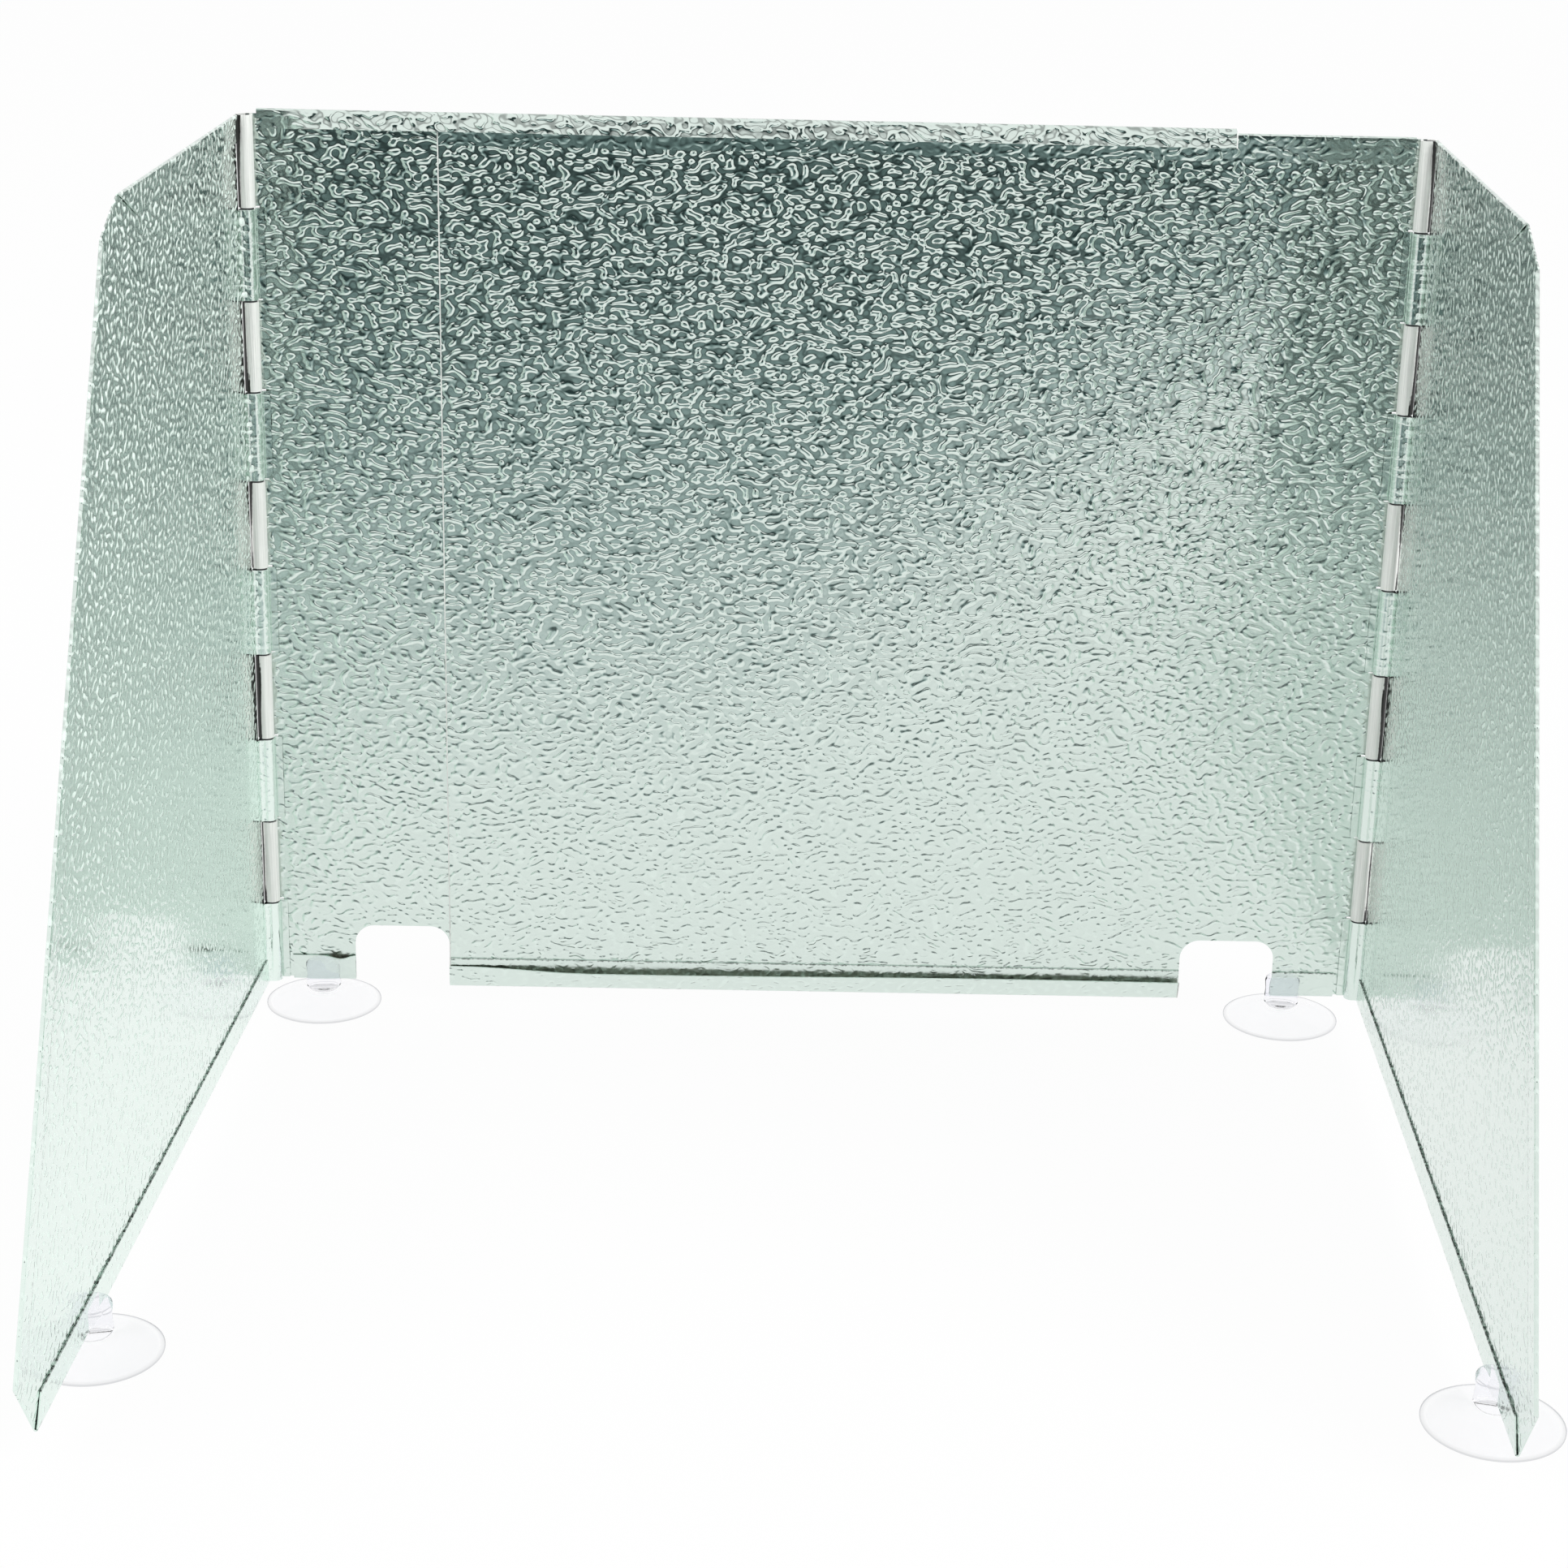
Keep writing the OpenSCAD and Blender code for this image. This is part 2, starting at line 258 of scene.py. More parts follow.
def lines(low, high, *between, step=LINE_STEP):
    """Sorted grid lines from low to high, through every value in between that lies inside."""
    marks = [low] + sorted(b for b in set(between) if low + MERGE < b < high - MERGE) + [high]
    out = [low]
    for a, b in zip(marks, marks[1:]):
        count = max(1, round((b - a) / step))
        out += [a + (b - a) * (i + 1) / count for i in range(count)]
    return out


def within(values, low, high):
    return [v for v in values if low - MERGE <= v <= high + MERGE]


def smoothstep(low, high, x):
    t = min(1.0, max(0.0, (x - low) / (high - low)))
    return t * t * (3 - 2 * t)


def ragged(z):
    """How far the edge of the painted shade on a roll strays at a height, as an angle."""
    return 0.25 * math.sin(61 * z + 1.2) + 0.12 * math.sin(410 * z)


def grid_patch(columns, rows, place):
    """A grid of columns by rows, whose points are placed by a function of both indices."""
    clear_selection()
    bpy.ops.mesh.primitive_grid_add(x_subdivisions=columns - 1, y_subdivisions=rows - 1)
    ob = bpy.context.object
    if len(ob.data.vertices) != columns * rows:
        raise RuntimeError("the grid has another number of points than was asked for")
    for i, vertex in enumerate(ob.data.vertices):
        row, column = divmod(i, columns)
        vertex.co = place(column, row)
    return ob


def point_values(ob, *names):
    """New values at the points of a mesh, fetched once all are made, as a new one moves the others."""
    for name in names:
        ob.data.attributes.new(name, "FLOAT", "POINT")
    return [ob.data.attributes[name] for name in names]


class Sheet:
    """One folded sheet in its own frame: pin at the origin, sheet along X, outer face towards +Y."""

    def __init__(self, sizes):
        self.s = sizes
        self.r = sizes.knuckle_d / 2
        self.hem_r = sizes.thickness + sizes.hem_gap / 2
        room = sizes.slide_gap + 2 * sizes.thickness + sizes.hem_gap + sizes.lip_gap
        self.bend_r = room / 2 + sizes.thickness
        self.pitch = sizes.height / sizes.knuckles
        self.edge = self.r + sizes.edge_gap
        self.start = self.edge + self.hem_r
        self.patches = []
        self.pockets = []
        self.bends = []
        self.raws = []
        # where the painted highlight on a back sheet's free edge begins
        self.highlight_from = math.inf

    def row(self, index, low, high):
        """Bottom and top of a knuckle row, counted from the top, within the flat of the sheet."""
        half = self.s.knuckle_gap / 2
        top = self.s.height - index * self.pitch
        return max(low, top - self.pitch + half), min(high, top - half)

    def row_lines(self, low, high):
        return [z for i in range(self.s.knuckles) for z in self.row(i, low, high)]

    def plate(self, us, vs, reach=None):
        """The flat. reach gives the length of each row where the far edge is slanted."""

        def place(column, row):
            x = us[column]
            if reach:
                share = (x - us[0]) / (us[-1] - us[0])
                x = us[0] + share * (reach(vs[row]) - us[0])
            return x, self.r, vs[row]

        self.patches.append(grid_patch(len(us), len(vs), place))

    def fold(
        self, edge, outward, depth, inside=None, cuts=(0, 0), flare=None, rise=None, curl=0.0, pocket_shade=None
    ):
        """A fold along edge, the plate's own boundary points in X and Z, and the leaf that it returns.

        inside and rise give the bend's outer radius and how far beyond the plate it begins, flare how
        far the leaf stands off the sheet, all along the edge. curl is the share of the flare that the
        leaf takes up along its depth. cuts slant the leaf's ends as its corners need. grime gives the
        painted shade in the pocket behind the leaf."""
        first, last = Vector(edge[0]), Vector(edge[-1])
        along = (last - first).normalized()
        out = Vector(outward).normalized()
        whole = (last - first).length
        lean = flare or (lambda t: -self.s.hem_press)

        def path(t):
            """Section of the fold: how far out, at which Y and how deep into the fold each point is."""
            r = inside(t) if inside else self.hem_r
            begin = rise(t) if rise else 0.0
            turn = math.pi - lean(t) * (1 - curl)
            points = [(0.0, self.r, 0.0)] if rise else []
            for k in range(FOLD_STEPS + 1):
                a = turn * k / FOLD_STEPS
                out_by, y = begin + r * math.sin(a), self.r - r + r * math.cos(a)
                points.append((out_by, y, r * k / FOLD_STEPS))
            step = (depth - r) / LEAF_STEPS
            for i in range(LEAF_STEPS):
                off, y, deep = points[-1]
                a = lean(t) * (1 - curl + curl * 2 * ((i + 0.5) / LEAF_STEPS) ** 2)
                points.append((off - step * math.cos(a), y - step * math.sin(a), deep + step))
            return points

        ts = [(Vector(e) - first).dot(along) for e in edge]
        paths = [path(t) for t in ts]

        def place(column, row):
            off, y, deep = paths[column][row]
            run = cuts[0] * deep + (whole - (cuts[0] + cuts[1]) * deep) * ts[column] / whole
            at = first + along * run + out * off
            return at.x, y, at.y

        def spot(co):
            """How far along the edge and how far out from it a point is, and whether it is beside it."""
            at = Vector((co.x, co.z)) - first
            t = at.dot(along)
            return t, at.dot(out), -MERGE <= t <= whole + MERGE

        def pocket(co):
            """How much painted shade a point in the pocket behind the leaf gets."""
            t, off, beside = spot(co)
            half = self.s.thickness * 0.6
            if not beside or co.y > self.r - half or off < -depth:
                return 0.0
            outer = path(t)
            near = min(
                math.dist((off, co.y), [p + (q - p) * k / 4 for p, q in zip(a[:2], b[:2])])
                for a, b in zip(outer, outer[1:]) for k in range(5)
            )
            return pocket_shade(t) if near > half else 0.0

        def bent(co):
            """Whether a point lies on the bend itself."""
            _, off, beside = spot(co)
            return beside and off > MERGE

        def raw(co):
            """Whether a point lies on the leaf's raw edge."""
            _, off, beside = spot(co)
            return beside and abs(off - (self.hem_r - depth)) < 2 * self.s.chamfer

        if not rise:
            self.bends.append(bent)
            # the raw edges of plain hems that do not face up get a painted shadow line
            if not flare and out.y < 0.5:
                self.raws.append(raw)
        if pocket_shade:
            self.pockets.append(pocket)
        self.patches.append(grid_patch(len(edge), len(paths[0]), place))

    def roll(self, rows, low, high, vs, reach, tail=False):
        """Rolled knuckles in these rows, joined to a plate that starts at reach.

        With a tail, the end of a roll runs out on the plate."""
        turn = FULL_TURN - self.s.seam
        path = [(reach, self.r)]
        for k in range(ROLL_STEPS + 1):
            a = math.pi / 2 + turn * k / ROLL_STEPS
            if not tail or a < FULL_TURN + TAIL_FROM:
                path.append((self.r * math.cos(a), self.r * math.sin(a)))
        if tail:
            start = Vector(path[-1])
            end = Vector((self.r + TAIL, self.r - self.s.thickness))
            lift = Vector((start.x, end.y))
            for k in range(1, FOLD_STEPS + 1):
                q = k / FOLD_STEPS
                path.append(tuple(start * (1 - q) ** 2 + lift * 2 * q * (1 - q) + end * q * q))
        for index in rows:
            zs = within(vs, *self.row(index, low, high))
            self.patches.append(
                grid_patch(len(path), len(zs), lambda column, row: (*path[column], zs[row]))
            )

    def tabs(self, rows, low, high, vs):
        """Tabs folded flat beside the other leaf's knuckles, reaching in behind their round."""
        away = self.r + self.hem_r + self.s.edge_gap / 3
        reach = self.start - math.sqrt(away**2 - (self.r - self.hem_r) ** 2)
        for index in rows:
            edge = [(self.start, z) for z in within(vs, *self.row(index, low, high))]
            self.fold(edge, (-1, 0), self.s.tab_depth, rise=lambda t: reach)

    def finish(self, name, cutters=()):
        """Joins the patches into one sheet of the right thickness and cuts the notches out of it."""
        clear_selection()
        for ob in self.patches:
            ob.select_set(True)
        ob = self.patches[0]
        bpy.context.view_layer.objects.active = ob
        bpy.ops.object.join()
        ob.name = ob.data.name = name
        in_edit_mode(
            ob,
            (bpy.ops.mesh.remove_doubles, {"threshold": MERGE}),
            (bpy.ops.mesh.normals_make_consistent, {"inside": False}),
        )
        flat = max(ob.data.polygons, key=lambda p: p.area)
        if flat.normal.y < 0:
            in_edit_mode(ob, (bpy.ops.mesh.flip_normals, {}))
        add_modifier(ob, "SOLIDIFY", thickness=self.s.thickness, offset=-1, use_even_offset=True)
        for cutter in cutters:
            add_modifier(ob, "BOOLEAN", object=cutter, operation="DIFFERENCE", solver="EXACT")
            bpy.data.objects.remove(cutter)
        add_modifier(
            ob, "BEVEL", width=self.s.chamfer, segments=1, limit_method="ANGLE", angle_limit=BEVEL_ANGLE
        )
        return ob

    def mark(self, ob, leaf_flat, roll_flat, shade_angles=None):
        """Writes where the relief is pressed flat, with a painted highlight on a back sheet's free edge, and
        where shade is painted: black on the rolls' flanks and on the wings' edges beside them, a dark line
        along raw edges and dark in the pockets of the folds.
        """
        flat, painted_shade, pocket_shade = point_values(ob, "flat", "painted_shade", "pocket_shade")
        beside = [self.row(i, 0, self.s.height) for i in range(0, self.s.knuckles, 2)]
        for i, vertex in enumerate(ob.data.vertices):
            co = vertex.co
            on_roll = math.hypot(co.x, co.y) < self.r * 1.03
            leaf = self.r - LEAF_REACH < co.y < self.r - self.s.thickness * 1.3
            if on_roll:
                flat.data[i].value = roll_flat
            # painted highlight: a back sheet's free edge takes the rolls' pale matt finish
            elif co.x > self.highlight_from:
                flat.data[i].value = 1.0
            elif any(on_bend(co) for on_bend in self.bends):
                flat.data[i].value = 0.5
            elif leaf:
                flat.data[i].value = leaf_flat
            # painted shade in the pockets of the folds
            pocket_shade.data[i].value = max([pocket(co) for pocket in self.pockets], default=0.0)
            # painted shadow line along the hems' raw edges
            shade_amount = RAW_EDGE_DARKNESS if leaf and any(on_raw(co) for on_raw in self.raws) else 0.0
            # black painted shade on the roll's flank, where the wing's edge meets it
            if on_roll and shade_angles:
                a = math.atan2(co.y, co.x) % FULL_TURN
                low, high = shade_angles
                high += ragged(co.z)
                shade_amount = smoothstep(low - SHADE_FADE, low, a) * (1 - smoothstep(high, high + SHADE_FADE, a))
            # black painted shade on a wing's edge beside the back sheets' knuckles
            if not on_roll and not shade_angles and co.x < self.edge + EDGE_SHADE / 2:
                shade_amount = 1.0 if any(low < co.z < high for low, high in beside) else shade_amount
            painted_shade.data[i].value = shade_amount


def put(ob, matrix, body, node, material):
    """Moves a finished sheet to its hinge, mirrored ones turned right side out, and dresses it."""
    ob.data.transform(matrix)
    if matrix.determinant() < 0:
        in_edit_mode(ob, (bpy.ops.mesh.flip_normals, {}))
    make_active(ob)
    bpy.ops.object.shade_smooth_by_angle(angle=SMOOTH_ANGLE)
    ob.data.materials.clear()
    ob.data.materials.append(material)
    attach(ob, body)
    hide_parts(node)
    return ob


def hinge(node, mirrored, lift):
    """Matrix that takes a sheet from its own frame to its hinge."""
    x, y = middle(node)
    side = Matrix.Diagonal((-1, 1, 1, 1)) if mirrored else Matrix.Identity(4)
    return Matrix.Translation((x, y, lift)) @ side


# Materials


class Tree:
    """Short calls for building a node tree."""

    def __init__(self, tree):
        self.tree = tree

    def add(self, kind, inputs=None, **values):
        node = self.tree.nodes.new("ShaderNode" + kind)
        for key, value in values.items():
            setattr(node, key, value)
        for key, value in (inputs or {}).items():
            self.set(node.inputs[key], value)
        return node

    def set(self, socket, value):
        """Links a socket to another one, or gives it a value."""
        if isinstance(value, bpy.types.NodeSocket):
            self.tree.links.new(value, socket)
        else:
            socket.default_value = value

    def math(self, operation, a, b=0.0):
        return self.add("Math", {0: a, 1: b}, operation=operation).outputs[0]

    def product(self, *factors):
        out = factors[0]
        for factor in factors[1:]:
            out = self.math("MULTIPLY", out, factor)
        return out

    def less(self, value):
        """What is left of 1."""
        return self.math("SUBTRACT", 1.0, value)

    def mark(self, name):
        """A value that was written at the points of the mesh."""
        return self.add("Attribute", attribute_name=name).outputs["Fac"]

    def group(self, tree, **inputs):
        return self.add("Group", inputs, node_tree=tree)

    def map(self, value, low, high, to_low=0.0, to_high=1.0, kind="SMOOTHSTEP"):
        ends = {"From Min": low, "From Max": high, "To Min": to_low, "To Max": to_high}
        return self.add("MapRange", {"Value": value, **ends}, interpolation_type=kind).outputs["Result"]

    def mix(self, factor, a, b):
        """Mixes two colours; the node's sockets 0, 6, 7 and 2 are those for colours."""
        return self.add("Mix", data_type="RGBA", inputs={0: factor, 6: a, 7: b}).outputs[2]

    def link(self, a, b):
        self.tree.links.new(a, b)


def new_group(name, inputs, outputs):
    """A node group whose sockets are numbers, but for Place, which is a vector."""
    tree = bpy.data.node_groups.new(name, "ShaderNodeTree")
    for way, sockets in (("INPUT", inputs), ("OUTPUT", outputs)):
        for socket in sockets:
            kind = "NodeSocketVector" if socket == "Place" else "NodeSocketFloat"
            tree.interface.new_socket(name=socket, in_out=way, socket_type=kind)
    t = Tree(tree)
    return t, tree.nodes.new("NodeGroupInput"), tree.nodes.new("NodeGroupOutput")


def opaque(rgb, share=1.0):
    """A colour with alpha, made darker or brighter up to full."""
    return (*(min(1.0, c * share) for c in rgb), 1)


def embossing_group():
    """Worm-shaped ridges on a flat ground, with a slow sway of the whole sheet under them."""
    if "embossing" in bpy.data.node_groups:
        return bpy.data.node_groups["embossing"]
    t, start, end = new_group(
        "embossing", ("Place", "Pitch", "Sway", "Flat"), ("Height", "Ridge", "Foot", "Haze")
    )

    def vectors(operation, a, b):
        key = "Scale" if operation == "SCALE" else 1
        return t.add("VectorMath", {0: a, key: b}, operation=operation).outputs[0]

    def noise(scale, detail=0.0):
        return t.add(
            "TexNoise", {"Vector": scaled, "Scale": scale, "Detail": detail}, noise_dimensions="2D"
        )

    scaled = vectors("SCALE", start.outputs["Place"], t.math("DIVIDE", 1.0, start.outputs["Pitch"]))
    shift = vectors("SUBTRACT", noise(0.35).outputs["Color"], (0.5, 0.5, 0.5))
    moved = vectors("ADD", scaled, vectors("SCALE", shift, 0.8))
    drawn_out = vectors("MULTIPLY", moved, (0.74, 1.14, 1.0))
    worms = t.add(
        "TexGabor", {"Vector": drawn_out, "Scale": 0.8, "Frequency": 1.25, "Anisotropy": 0.0}, gabor_type="2D"
    ).outputs["Value"]
    unpressed = t.less(start.outputs["Flat"])
    ridge = t.product(t.map(worms, 0.46, 0.73), unpressed)
    # the foot round each ridge, a mask for painted shade
    foot = t.product(t.map(worms, 0.36, 0.44), t.less(t.map(worms, 0.46, 0.52)), unpressed)
    grain = t.product(noise(2.2).outputs["Fac"], 0.05)
    swayed = t.product(noise(0.030).outputs["Fac"], start.outputs["Sway"])
    t.link(t.math("ADD", t.math("ADD", ridge, grain), swayed), end.inputs["Height"])
    t.link(ridge, end.inputs["Ridge"])
    t.link(foot, end.inputs["Foot"])
    t.link(noise(0.12, 2.0).outputs["Fac"], end.inputs["Haze"])
    return t.tree


def shade_mask_group():
    """Mask for the places of painted shade, broken up along their edges."""
    if "painted_shade_marks" in bpy.data.node_groups:
        return bpy.data.node_groups["painted_shade_marks"]
    t, start, end = new_group("painted_shade_marks", ("Place", "Rub"), ("Mask",))
    noise = t.add("TexNoise", {"Vector": start.outputs["Place"], "Scale": 900.0, "Detail": 3.0})
    broken = t.product(t.math("SUBTRACT", noise.outputs["Fac"], 0.5), 0.6)
    mask = t.map(t.math("ADD", start.outputs["Rub"], broken), 0.35, 0.65)
    t.link(t.product(mask, t.math("GREATER_THAN", start.outputs["Rub"], 0.001)), end.inputs["Mask"])
    return t.tree


def new_material(name):
    material = bpy.data.materials.new(name)
    material.use_nodes = True
    t = Tree(material.node_tree)
    return material, t, material.node_tree.nodes["Principled BSDF"]


def sheet_material(name, offset, turn, relief=1.0, ridge_highlight=0.0, painted_light=1.0):
    """Bright stucco-embossed aluminium.

    offset and turn place the pattern on its own sheet. relief scales the ridges; bright scales the metal, a
    lighter painted copy for the better lit wing.
    burnish is how far the ridges high up on the sheet are painted white as highlights, over a ground painted
    darker as shade."""
    f = bpy.context.scene.windscreen_finish
    material, t, shader = new_material(name)
    place = t.add("TexCoord").outputs["Object"]
    x, y, z = t.add("SeparateXYZ", {0: place}).outputs
    flat = t.add("CombineXYZ", {0: t.math("ADD", x, y), 1: z}).outputs[0]
    on_sheet = t.add("Mapping", {"Vector": flat, "Location": offset, "Rotation": (0, 0, turn)}).outputs[0]
    pressed = t.mark("flat")
    emboss = t.group(embossing_group(), Place=on_sheet, Pitch=f.pitch, Sway=f.sway, Flat=pressed).outputs
    ridge, haze = emboss["Ridge"], emboss["Haze"]
    shaded = t.group(shade_mask_group(), Place=place, Rub=t.mark("painted_shade")).outputs["Mask"]
    pocket_shaded = t.group(shade_mask_group(), Place=place, Rub=t.mark("pocket_shade")).outputs["Mask"]
    rolled = t.math("GREATER_THAN", pressed, ROLLED_FROM)
    # painted light by height: on the wings the ground turns darker as shade and the ridges whiter as
    # highlights higher up
    high = t.map(z, *LIGHT_AND_RELIEF_Z, 0.2 * ridge_highlight, ridge_highlight)

    # Colour: ground, ridges painted lighter as highlights, painted shade round their feet, streaked rolls,
    # then painted shade in the pockets and black painted shade beside the rolls and along raw edges
    # painted light: bright makes a lighter copy of the metal for the better lit wing
    metal = Vector(opaque(f.metal, painted_light)[:3])
    ground = t.mix(high, opaque(metal), opaque(metal, 0.84))
    hazy = t.mix(high, opaque(metal, 0.95), opaque(metal, 0.80))
    # painted highlight: the ridges lighter than the ground, white high up on the wings
    top = t.mix(high, opaque(metal, 1.03), opaque(metal / max(metal)))
    sheet = t.mix(ridge, t.mix(haze, hazy, ground), top)
    # painted shade round the foot of each ridge, growing with height
    sheet = t.mix(t.product(emboss["Foot"], t.map(z, *FOOT_Z)), sheet, opaque(metal, f.foot))
    along = t.add("Mapping", {"Vector": place, "Scale": (1, 1, 0.02)}).outputs[0]
    drawn = t.add("TexNoise", {"Vector": along, "Scale": 2600.0, "Detail": 2.0}).outputs["Fac"]
    streaked = t.mix(t.map(drawn, *NOISE), opaque(f.roll, 0.84), opaque(f.roll))
    # painted shade in the pockets of the folds
    bare = t.mix(t.product(pocket_shaded, 0.85), t.mix(rolled, sheet, streaked), opaque(f.pocket_shade))
    # black painted shade where the wings' edges meet the rolls and along the raw edges
    t.link(t.mix(shaded, bare, opaque(f.crevice_shade)), shader.inputs["Base Color"])

    rough = t.map(haze, *NOISE, 0.07, 0.13, kind="LINEAR")
    for more in (
        t.map(z, *SOFT_Z, 0.0 if ridge_highlight else 0.13, 0.0),
        t.product(rolled, t.map(drawn, *NOISE, 0.16, 0.34)),
        t.product(ridge, 0.35 * ridge_highlight),
        t.product(pocket_shaded, 0.25),
    ):
        rough = t.math("ADD", rough, more)
    t.link(t.math("MAXIMUM", rough, t.product(shaded, 0.55)), shader.inputs["Roughness"])

    # painted highlight: ridges high up on the wings lose their metal to show as white; rolls and pressed
    # edges are matt
    ridge_highlight_and_matt_roll = t.math("MAXIMUM", t.product(ridge, high, 0.85), t.product(rolled, 0.85))
    t.link(t.less(t.math("MAXIMUM", t.product(shaded, 0.9), ridge_highlight_and_matt_roll)), shader.inputs["Metallic"])

    gentle = t.map(z, *LIGHT_AND_RELIEF_Z, 0.35 if ridge_highlight else 0.72, 1.0)
    bump = t.add("Bump", {"Height": t.product(emboss["Height"], gentle), "Strength": 1.0})
    bump.inputs["Distance"].default_value = f.depth * relief
    t.link(bump.outputs[0], shader.inputs["Normal"])
    return material


def wire_material():
    """Drawn wire with fine lines along it, painted dark as the shade in the gaps between the knuckles."""
    f = bpy.context.scene.windscreen_finish
    material, t, shader = new_material("drawn_wire")
    place = t.add("TexCoord").outputs["Object"]
    along = t.add("Mapping", {"Vector": place, "Scale": (1, 1, 0.03)})
    drawn = t.add("TexNoise", {"Vector": along.outputs[0], "Scale": 4000.0, "Detail": 3.0}).outputs["Fac"]
    # painted shade: the wire is dark so the knuckle gaps read as shade
    t.link(t.mix(drawn, opaque(f.wire, 0.6), opaque(f.wire, 1.5)), shader.inputs["Base Color"])
    t.link(t.map(drawn, *NOISE, 0.35, 0.55, kind="LINEAR"), shader.inputs["Roughness"])
    bump = t.add("Bump", {"Height": drawn, "Distance": 0.00003})
    t.link(bump.outputs[0], shader.inputs["Normal"])
    shader.inputs["Metallic"].default_value = 0.6
    return material


def vinyl_material():
    """Clear soft vinyl with a faint haze."""
    f = bpy.context.scene.windscreen_finish
    material, t, shader = new_material("clear_vinyl")
    place = t.add("TexCoord").outputs["Object"]
    haze = t.add("TexNoise", {"Vector": place, "Scale": 160.0, "Detail": 2.0}).outputs["Fac"]
    clear = t.mix(haze, opaque(f.vinyl, 0.985), opaque(f.vinyl))
    headed = t.mix(t.mark("head"), clear, opaque(f.vinyl_head))
    # painted shade: the thin rim is grey as the dark line of light bent at the edge
    t.link(t.mix(t.mark("rim"), headed, opaque(f.rim_shade_line)), shader.inputs["Base Color"])
    t.link(t.map(haze, *NOISE, 0.06, 0.12, kind="LINEAR"), shader.inputs["Roughness"])
    shader.inputs["Transmission Weight"].default_value = 1.0
    shader.inputs["IOR"].default_value = 1.10
    return material


# Operators


class WINDSCREEN_OT_stage(bpy.types.Operator):
    """Camera, pale floor and soft studio light"""

    bl_idname = "windscreen.stage"
    bl_label = "Stage"

    def execute(self, context):
        p = context.scene.windscreen_stage
        clear_selection()
        bpy.ops.object.camera_add(location=CAMERA_AT)
        camera = context.object
        camera.rotation_euler = [math.radians(a) for a in CAMERA_TURN]
        camera.data.lens = p.lens
        camera.data.sensor_width = 36
        camera.data.clip_start, camera.data.clip_end = 0.05, 60
        context.scene.camera = camera
        context.scene.view_settings.view_transform = "Standard"
        self.floor(p)
        self.sky(context.scene)
        for name, values in SOFTBOXES.items():
            self.softbox(name, *values)
        return {"FINISHED"}

    def softbox(self, name, location, turned, size, power):
        """A lamp for the matt parts; mirrors see only the sky and the floor."""
        clear_selection()
        bpy.ops.object.light_add(type="AREA", location=location)
        lamp = bpy.context.object
        lamp.name = name
        lamp.rotation_euler = [math.radians(a) for a in turned]
        lamp.data.shape = "SQUARE"
        lamp.data.size = size
        lamp.data.energy = power
        lamp.visible_glossy = False

    def floor(self, p):
        clear_selection()
        bpy.ops.mesh.primitive_plane_add(size=24)
        ob = bpy.context.object
        ob.name = "floor"
        material, t, shader = new_material("pale_floor")
        x, y, _ = t.add("SeparateXYZ", {0: t.add("TexCoord").outputs["Object"]}).outputs
        ahead = t.math("SUBTRACT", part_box("left_back_sheet")[0].y, y)
        aside = t.math("ABSOLUTE", t.math("SUBTRACT", x, WEDGE_X))
        wedge = t.map(t.math("DIVIDE", aside, t.math("MAXIMUM", ahead, 0.05)), *WEDGE, 1.0, 0.0)
        beyond = t.math("MAXIMUM", t.math("SUBTRACT", ahead, p.near), 0.0)
        far = t.product(t.math("POWER", t.math("DIVIDE", beyond, p.fade), 1.5), wedge)
        fade = t.math("DIVIDE", 1.0, t.math("ADD", 1.0, far))
        tint = t.add("CombineColor", {0: t.math("POWER", fade, 1.25), 1: fade, 2: fade}).outputs[0]
        mirrored = t.add("LightPath").outputs["Is Glossy Ray"]
        shader.inputs["Roughness"].default_value = 0.9
        shader.inputs["Specular IOR Level"].default_value = 0.0
        shader.inputs["Base Color"].default_value = opaque(p.floor)
        glow = t.add("Emission", {"Color": t.mix(mirrored, WHITE, tint)}).outputs[0]
        share = t.product(self.shown(t), p.glow)
        both = t.add("MixShader", {0: share, 1: shader.outputs[0], 2: glow}).outputs[0]
        t.link(both, material.node_tree.nodes["Material Output"].inputs["Surface"])
        ob.data.materials.append(material)

    def shown(self, t):
        """1 for the rays that see the stage directly, in a mirror or through clear vinyl."""
        path = t.add("LightPath")
        seen = t.math("MAXIMUM", path.outputs["Is Camera Ray"], path.outputs["Is Glossy Ray"])
        return t.math("MAXIMUM", seen, path.outputs["Is Transmission Ray"])

    def sky(self, scene):
        scene.world = scene.world or bpy.data.worlds.new("studio")
        scene.world.use_nodes = True
        t = Tree(scene.world.node_tree)
        background = scene.world.node_tree.nodes["Background"]
        _, y, z = t.add("SeparateXYZ", {0: t.add("TexCoord").outputs["Generated"]}).outputs
        seen_in_mirror = t.add("LightPath").outputs["Is Glossy Ray"]
        ahead = t.map(y, *FRONT_Y, 1.0, 0.0)
        dark = t.product(ahead, t.less(t.map(z, *FRONT_Z)), seen_in_mirror)
        t.link(t.mix(dark, WHITE, DARK_FRONT), background.inputs["Color"])
        t.link(t.map(self.shown(t), 0, 1, 0.95, 1.0, kind="LINEAR"), background.inputs["Strength"])


